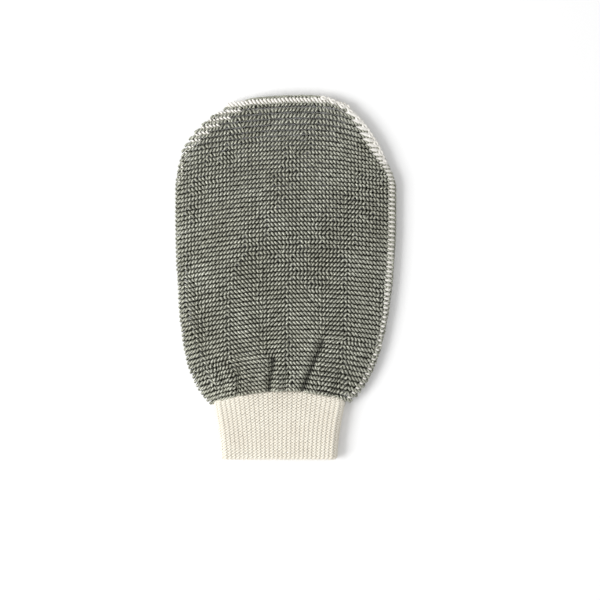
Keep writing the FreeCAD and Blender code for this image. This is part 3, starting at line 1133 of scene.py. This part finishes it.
def gap_strands(cloth, row, start, end):
    """Looper thread in the gap above a course: loops on the left shoulder, wraps on the right."""
    y = COURSES[row] + COURSE_PITCH / 2
    strands = []
    if y > LEFT_GAP_LINE:
        first = start + LEFT_INSET + LEFT_CROWN_INSET * smooth_step(y, *LEFT_INSET_RANGE)
        last = start + LEFT_REACH + LEFT_CROWN_REACH * smooth_step(y, *LEFT_REACH_RANGE)
        strands.append(loop_course(cloth, row + 0.4, first, last, GAP_STITCH))
    on_crown = smooth_step(y, *RIGHT_CROWN_RANGE)
    reach = RIGHT_REACH + RIGHT_FLANK_REACH * smooth_step(y, *RIGHT_FLANK_RANGE)
    reach = reach + RIGHT_CROWN_REACH * on_crown
    thickness = WRAP_THICKNESS + WRAP_FLANK_THICKNESS * smooth_step(y, *WRAP_FLANK_RANGE)
    thickness = thickness + WRAP_CROWN_THICKNESS * on_crown
    strands.append(lens_wraps(cloth, row + 0.5, end - reach, end + WRAP_OVERHANG, thickness))
    return strands


def gap_loops(up):
    """Looper thread in every gap of one half, the whole way across in the topmost."""
    cloth, ends = bag_cloth(up)
    top = len(ends) - 2
    strands = []
    for row in range(top):
        strands += gap_strands(cloth, row, *ends[row])
    return strands + [loop_course(cloth, top + 0.5, *ends[top], TOP_STITCH)]


def make_edge_seam():
    """Overlock along the edge: a needle line, and two loopers with what fills the gaps."""
    run = np.arange(EDGE_END, EDGE_RUN[-1] - EDGE_END, EDGE_RING_STEP)
    for node, up in (("edge_upper_looper_thread", 1), ("edge_lower_looper_thread", -1)):
        points, radius = looper_strand(run, up)
        strands = [plain_strand(points, radius)] + gap_loops(up)
        piece = tube_piece(node.replace("_thread", "_loops"), strands, THREAD)
        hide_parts(node)
        across_wrist(piece)
    through = np.abs(np.sin(math.pi * run / EDGE_STITCH))
    depth = NEEDLE_DEPTH + NEEDLE_WANDER * np.sin(run / NEEDLE_WANDER_LENGTH)
    points = edge_point(run, depth, NEEDLE_DIP * through - NEEDLE_DIP, 1)
    piece = tube_piece("edge_needle_line", [plain_strand(points, THREAD_RADIUS)], THREAD)
    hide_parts("edge_needle_thread")
    across_wrist(piece)


make_edge_seam()

# ---------------------------------------------------------------- the seam at the wrist

WRIST_STITCH_RINGS = 16


def wrist_seam_point(around, rise, depth):
    """A point by the wrist seam: how far around, above the join, and in from the cuff's face."""
    line = np.full(len(around), WRIST_LINE)
    point, _ = cuff_section(around, line, 0.0)
    y = join_line(point[:, 0]) + rise
    tuck = TUCK_SLOPE * np.clip(rise + TUCK_START, 0, None)
    return cuff_section(around, y, tuck + depth)


def make_wrist_seam():
    """Overlock that sews the cuff into the bag: a needle line, and a looper on each side."""
    around = np.linspace(0, 1, CUFF_WALES * WRIST_STITCH_RINGS + 1)
    swing = 0.5 + 0.5 * np.cos(2 * math.pi * CUFF_WALES * around)
    through = np.abs(np.sin(math.pi * CUFF_WALES * around))
    level = np.full(len(around), 1.9)
    threads = {
        "wrist_needle_line": ("wrist_needle_thread", level, 0.9 + 0.9 * through),
        "wrist_upper_loops": ("wrist_upper_looper_thread", 1.2 + 1.6 * swing, 1.0 - 0.3 * swing),
        "wrist_lower_loops": ("wrist_lower_looper_thread", 2.8 - 1.6 * swing, 3.1 - 0.3 * swing),
    }
    for name, (node, rise, depth) in threads.items():
        points, outward = wrist_seam_point(around, rise, depth)
        strand = plain_strand(points, THREAD_RADIUS, outward, tip=1.0)
        piece = tube_piece(name, [strand], THREAD)
        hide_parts(node)
        across_wrist(piece)


make_wrist_seam()

# ---------------------------------------------------------------- stage, in metres

FLOOR_SIZE = 4.0
FLOOR_COLOUR = (0.93, 0.93, 0.93, 1)
STUDIO_LIGHT = 0.68
KEY_PLACE = Vector((-1.04, -0.24, 0.85))
KEY_SIZE = 0.9
KEY_POWER = 19
AIM = Vector((9.9 * MM, -16 * MM, 0.010))
CAMERA_HEIGHT = 1.135


def make_floor():
    bpy.ops.mesh.primitive_plane_add(size=FLOOR_SIZE)
    floor = bpy.context.object
    floor.name = "floor"
    material, _, surface = new_material("pale_floor")
    surface.inputs["Base Color"].default_value = FLOOR_COLOUR
    surface.inputs["Roughness"].default_value = 0.9
    floor.data.materials.append(material)


def make_studio():
    """Even white light from all around, and a soft key light from the left."""
    world = bpy.data.worlds.new("studio")
    world.use_nodes = True
    background = world.node_tree.nodes["Background"]
    background.inputs["Color"].default_value = (1, 1, 1, 1)
    background.inputs["Strength"].default_value = STUDIO_LIGHT
    bpy.context.scene.world = world
    bpy.context.scene.view_settings.view_transform = "Standard"
    key = bpy.data.lights.new("key", "AREA")
    key.size = KEY_SIZE
    key.energy = KEY_POWER
    lamp = bpy.data.objects.new("key", key)
    lamp.location = KEY_PLACE
    lamp.rotation_euler = (AIM - KEY_PLACE).to_track_quat("-Z", "Y").to_euler()
    bpy.context.scene.collection.objects.link(lamp)


def make_camera():
    """A camera straight above, as in the photograph."""
    data = bpy.data.cameras.new("camera")
    data.lens = 100
    data.sensor_width = 36
    camera = bpy.data.objects.new("camera", data)
    camera.location = AIM + Vector((0, 0, CAMERA_HEIGHT))
    bpy.context.scene.collection.objects.link(camera)
    bpy.context.scene.camera = camera


make_floor()
make_studio()
make_camera()
